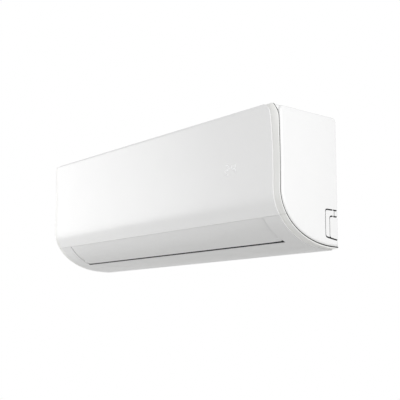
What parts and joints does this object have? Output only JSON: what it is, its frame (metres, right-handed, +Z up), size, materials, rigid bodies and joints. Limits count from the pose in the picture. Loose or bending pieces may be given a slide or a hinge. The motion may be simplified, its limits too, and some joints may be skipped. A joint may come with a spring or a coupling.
{
  "type": "split air conditioner indoor unit",
  "caption": "Wall-hung air conditioner indoor unit: long glossy housing with a bowed hinged front panel, a curved outlet louver below, a top intake grille, and fan and coil inside.",
  "frame": {"origin": "centre of the mounting plate's face that lies on the wall", "axes": "+X along the unit towards the fan motor's end, the right end seen from the room; +Y into the wall; +Z up"},
  "size_m": [0.86, 0.1831, 0.2825],
  "materials": {
    "glossWhite": "glossy white ABS",
    "satinWhite": "satin white ABS",
    "louverWhite": "white ABS, lightly glossy",
    "bandGrey": "pale warm grey ABS, satin",
    "innerWhite": "off-white moulded plastic",
    "darkPlastic": "dark grey moulded plastic",
    "fanGrey": "dark grey glass-filled plastic",
    "aluminium": "finned aluminium block",
    "copper": "drawn copper tube, given as the nearest yellow metal",
    "brass": "machined",
    "steel": "bright steel",
    "zincSteel": "zinc coated sheet",
    "rubber": "black",
    "boardGreen": "coated glass-fibre board",
    "meshGrey": "woven plastic net"
  },
  "bodies": {
    "housing": {"mounting_plate": "zincSteel", "rear_chassis": "innerWhite", "front_frame": "satinWhite", "louver_motor": "steel", "louver_bush": "darkPlastic", "pipe_cover_inner": "glossWhite", "vane_rail": "innerWhite", "fan_bearing": "rubber", "fan_motor": "darkPlastic", "motor_bracket": "innerWhite", "coil_end_left": "copper", "coil_end_right": "copper", "gas_pipe": "copper", "liquid_pipe": "copper", "gas_flare_nut": "brass", "liquid_flare_nut": "brass", "drain_pan": "innerWhite", "drain_spout": "rubber", "control_box": "innerWhite", "control_box_lid": "innerWhite", "control_board": "boardGreen", "terminal_block": "darkPlastic", "coil_sensor": "copper", "lid_screw": "steel", "end_cover_left": "glossWhite", "end_cover_right": "glossWhite", "pipe_cover_left": "glossWhite", "pipe_cover_right": "glossWhite", "lower_trim_left": "bandGrey", "lower_trim_right": "bandGrey", "frame_screw_left": "steel", "frame_screw_right": "steel", "coil_front_lower": "aluminium", "coil_front_upper": "aluminium", "coil_rear": "aluminium"},
    "panel": {"front_panel": "glossWhite", "panel_trim_left": "bandGrey", "panel_trim_right": "bandGrey", "display_board": "darkPlastic"},
    "louver": {"louver": "louverWhite"},
    "fan": {"cross_flow_fan": "fanGrey", "fan_stub": "steel", "motor_shaft": "steel"},
    "filter_left": {"filter_frame_left": "innerWhite", "filter_net_left": "meshGrey"},
    "filter_right": {"filter_frame_right": "innerWhite", "filter_net_right": "meshGrey"},
    "hand_button": {"hand_button": "satinWhite"},
    "vane_left_1": {"vane_left_1": "innerWhite"},
    "vane_left_2": {"vane_left_2": "innerWhite"},
    "vane_left_3": {"vane_left_3": "innerWhite"},
    "vane_left_4": {"vane_left_4": "innerWhite"},
    "vane_left_5": {"vane_left_5": "innerWhite"},
    "link_rod_left": {"link_rod_left": "innerWhite"},
    "vane_right_1": {"vane_right_1": "innerWhite"},
    "vane_right_2": {"vane_right_2": "innerWhite"},
    "vane_right_3": {"vane_right_3": "innerWhite"},
    "vane_right_4": {"vane_right_4": "innerWhite"},
    "vane_right_5": {"vane_right_5": "innerWhite"},
    "link_rod_right": {"link_rod_right": "innerWhite"}
  },
  "joints": [
    {"name": "panel_hinge", "type": "hinge", "parent": "housing", "child": "panel", "pos_m": [0, -0.15, 0.136], "axis": [-1, 0, 0], "range_deg": [0, 60]},
    {"name": "louver_hinge", "type": "hinge", "parent": "housing", "child": "louver", "pos_m": [0, -0.104, -0.112], "axis": [1, 0, 0], "range_deg": [0, 75]},
    {"name": "fan_spin", "type": "hinge", "parent": "housing", "child": "fan", "pos_m": [0, -0.082, -0.019], "axis": [1, 0, 0], "continuous": true},
    {"name": "filter_left_lift", "type": "slide", "parent": "housing", "child": "filter_left", "axis": [0, 0, 1], "range_m": [0, 0.008]},
    {"name": "filter_right_lift", "type": "slide", "parent": "housing", "child": "filter_right", "axis": [0, 0, 1], "range_m": [0, 0.008]},
    {"name": "hand_button_press", "type": "slide", "parent": "housing", "child": "hand_button", "axis": [0, 1, 0], "range_m": [0, 0.002], "stiffness_N_per_m": 300},
    {"name": "vane_left_1_turn", "type": "hinge", "parent": "housing", "child": "vane_left_1", "pos_m": [-0.035, -0.07165, -0.09694], "axis": [0, -0.8225, 0.5687], "range_deg": [-31, 31]},
    {"name": "vane_left_2_turn", "type": "hinge", "parent": "housing", "child": "vane_left_2", "pos_m": [-0.105, -0.07165, -0.09694], "axis": [0, -0.8225, 0.5687], "range_deg": [-31, 31]},
    {"name": "vane_left_3_turn", "type": "hinge", "parent": "housing", "child": "vane_left_3", "pos_m": [-0.175, -0.07165, -0.09694], "axis": [0, -0.8225, 0.5687], "range_deg": [-30, 30]},
    {"name": "vane_left_4_turn", "type": "hinge", "parent": "housing", "child": "vane_left_4", "pos_m": [-0.245, -0.07165, -0.09694], "axis": [0, -0.8225, 0.5687], "range_deg": [-31, 31]},
    {"name": "vane_left_5_turn", "type": "hinge", "parent": "housing", "child": "vane_left_5", "pos_m": [-0.315, -0.07165, -0.09694], "axis": [0, -0.8225, 0.5687], "range_deg": [-31, 31]},
    {"name": "link_rod_left_slide", "type": "slide", "parent": "housing", "child": "link_rod_left", "axis": [1, 0, 0], "range_m": [-0.0075, 0.0075]},
    {"name": "vane_right_1_turn", "type": "hinge", "parent": "housing", "child": "vane_right_1", "pos_m": [0.035, -0.07165, -0.09694], "axis": [0, -0.8225, 0.5687], "range_deg": [-31, 31]},
    {"name": "vane_right_2_turn", "type": "hinge", "parent": "housing", "child": "vane_right_2", "pos_m": [0.105, -0.07165, -0.09694], "axis": [0, -0.8225, 0.5687], "range_deg": [-31, 31]},
    {"name": "vane_right_3_turn", "type": "hinge", "parent": "housing", "child": "vane_right_3", "pos_m": [0.175, -0.07165, -0.09694], "axis": [0, -0.8225, 0.5687], "range_deg": [-30, 30]},
    {"name": "vane_right_4_turn", "type": "hinge", "parent": "housing", "child": "vane_right_4", "pos_m": [0.245, -0.07165, -0.09694], "axis": [0, -0.8225, 0.5687], "range_deg": [-31, 31]},
    {"name": "vane_right_5_turn", "type": "hinge", "parent": "housing", "child": "vane_right_5", "pos_m": [0.315, -0.07165, -0.09694], "axis": [0, -0.8225, 0.5687], "range_deg": [-31, 31]},
    {"name": "link_rod_right_slide", "type": "slide", "parent": "housing", "child": "link_rod_right", "axis": [1, 0, 0], "range_m": [-0.0075, 0.0075]}
  ],
  "couplings": [
    {"joint": "vane_left_1_turn", "follows": "vane_left_3_turn", "ratio": 1},
    {"joint": "vane_left_2_turn", "follows": "vane_left_3_turn", "ratio": 1},
    {"joint": "vane_left_4_turn", "follows": "vane_left_3_turn", "ratio": 1},
    {"joint": "vane_left_5_turn", "follows": "vane_left_3_turn", "ratio": 1},
    {"joint": "link_rod_left_slide", "follows": "vane_left_3_turn", "m_per_rad": -0.0136},
    {"joint": "vane_right_1_turn", "follows": "vane_right_3_turn", "ratio": 1},
    {"joint": "vane_right_2_turn", "follows": "vane_right_3_turn", "ratio": 1},
    {"joint": "vane_right_4_turn", "follows": "vane_right_3_turn", "ratio": 1},
    {"joint": "vane_right_5_turn", "follows": "vane_right_3_turn", "ratio": 1},
    {"joint": "link_rod_right_slide", "follows": "vane_right_3_turn", "m_per_rad": -0.0136}
  ]
}
